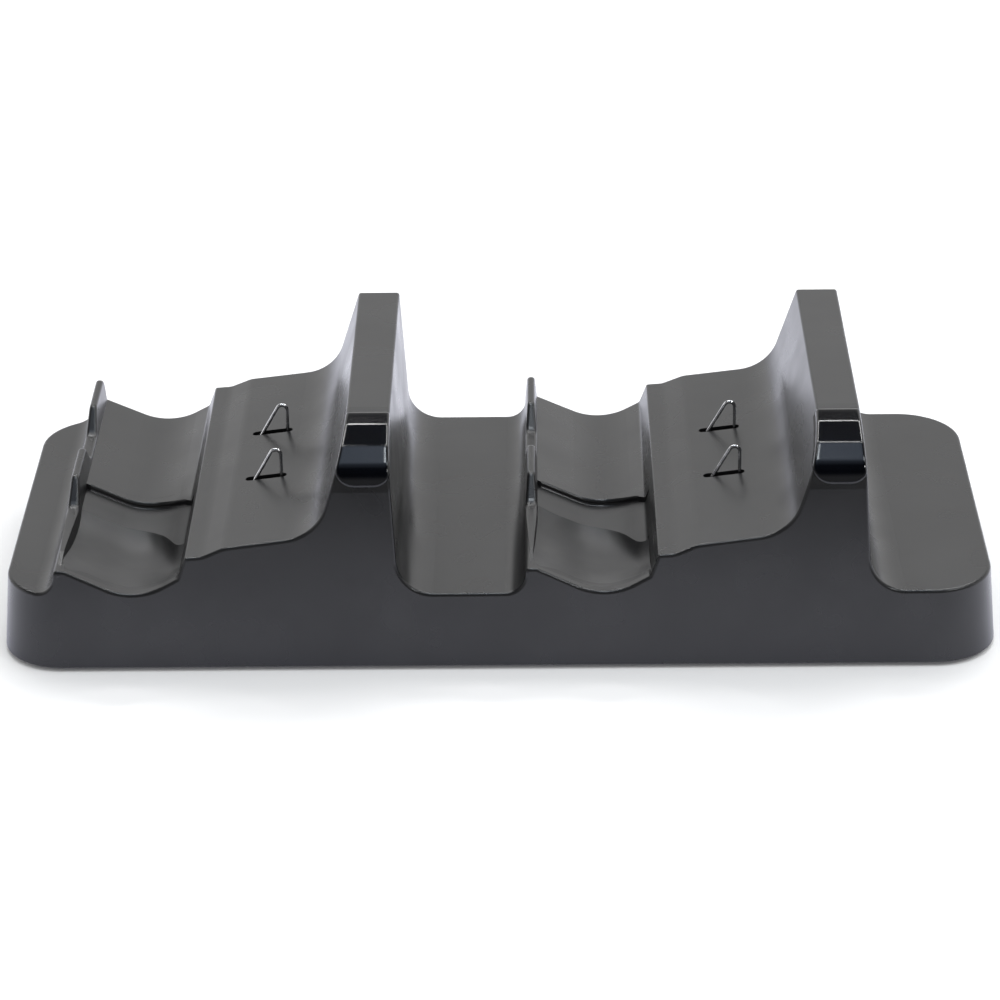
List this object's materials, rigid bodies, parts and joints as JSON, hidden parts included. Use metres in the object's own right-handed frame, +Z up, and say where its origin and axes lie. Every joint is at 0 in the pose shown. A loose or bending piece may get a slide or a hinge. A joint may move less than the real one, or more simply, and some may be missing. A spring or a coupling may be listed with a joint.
{
  "type": "controller charging dock",
  "caption": "Long black desktop charging dock with stepped cradles for game controllers, sprung wire contacts on sloping ramps and tall fins with smoked light windows at the front.",
  "frame": {"origin": "centre of the bounding box on the surface that the feet stand on", "axes": "+Z up, +X along the length toward the wide shelf, -Y toward the front with the light windows"},
  "size_m": [0.25, 0.108, 0.0582],
  "materials": {
    "black_plastic": "satin",
    "base_plastic": "matte",
    "smoked_window": "polished",
    "spring_wire": "polished",
    "guide_plastic": "matte",
    "circuit_board": "satin",
    "socket_steel": "satin",
    "screw_steel": "satin",
    "light_resin": "polished",
    "foot_rubber": "matte"
  },
  "bodies": {
    "dock": {"upper_shell": "black_plastic", "base_plate": "base_plastic", "main_board": "circuit_board", "power_socket": "socket_steel", "base_screws": "screw_steel", "board_screws": "screw_steel", "lens_left": "smoked_window", "lens_right": "smoked_window", "carrier_left": "guide_plastic", "carrier_right": "guide_plastic", "light_board_left": "circuit_board", "light_board_right": "circuit_board", "light_left": "light_resin", "light_right": "light_resin", "foot_front_left": "foot_rubber", "foot_front_right": "foot_rubber", "foot_rear_left": "foot_rubber", "foot_rear_right": "foot_rubber"},
    "contact_left_rear": {"contact_left_rear": "spring_wire"},
    "contact_left_front": {"contact_left_front": "spring_wire"},
    "contact_right_rear": {"contact_right_rear": "spring_wire"},
    "contact_right_front": {"contact_right_front": "spring_wire"}
  },
  "joints": [
    {"name": "press_left_rear", "type": "slide", "parent": "dock", "child": "contact_left_rear", "axis": [0, 0, -1], "range_m": [0, 0.004], "stiffness_N_per_m": 300, "springref_m": -0.001},
    {"name": "press_left_front", "type": "slide", "parent": "dock", "child": "contact_left_front", "axis": [0, 0, -1], "range_m": [0, 0.004], "stiffness_N_per_m": 300, "springref_m": -0.001},
    {"name": "press_right_rear", "type": "slide", "parent": "dock", "child": "contact_right_rear", "axis": [0, 0, -1], "range_m": [0, 0.004], "stiffness_N_per_m": 300, "springref_m": -0.001},
    {"name": "press_right_front", "type": "slide", "parent": "dock", "child": "contact_right_front", "axis": [0, 0, -1], "range_m": [0, 0.004], "stiffness_N_per_m": 300, "springref_m": -0.001}
  ]
}
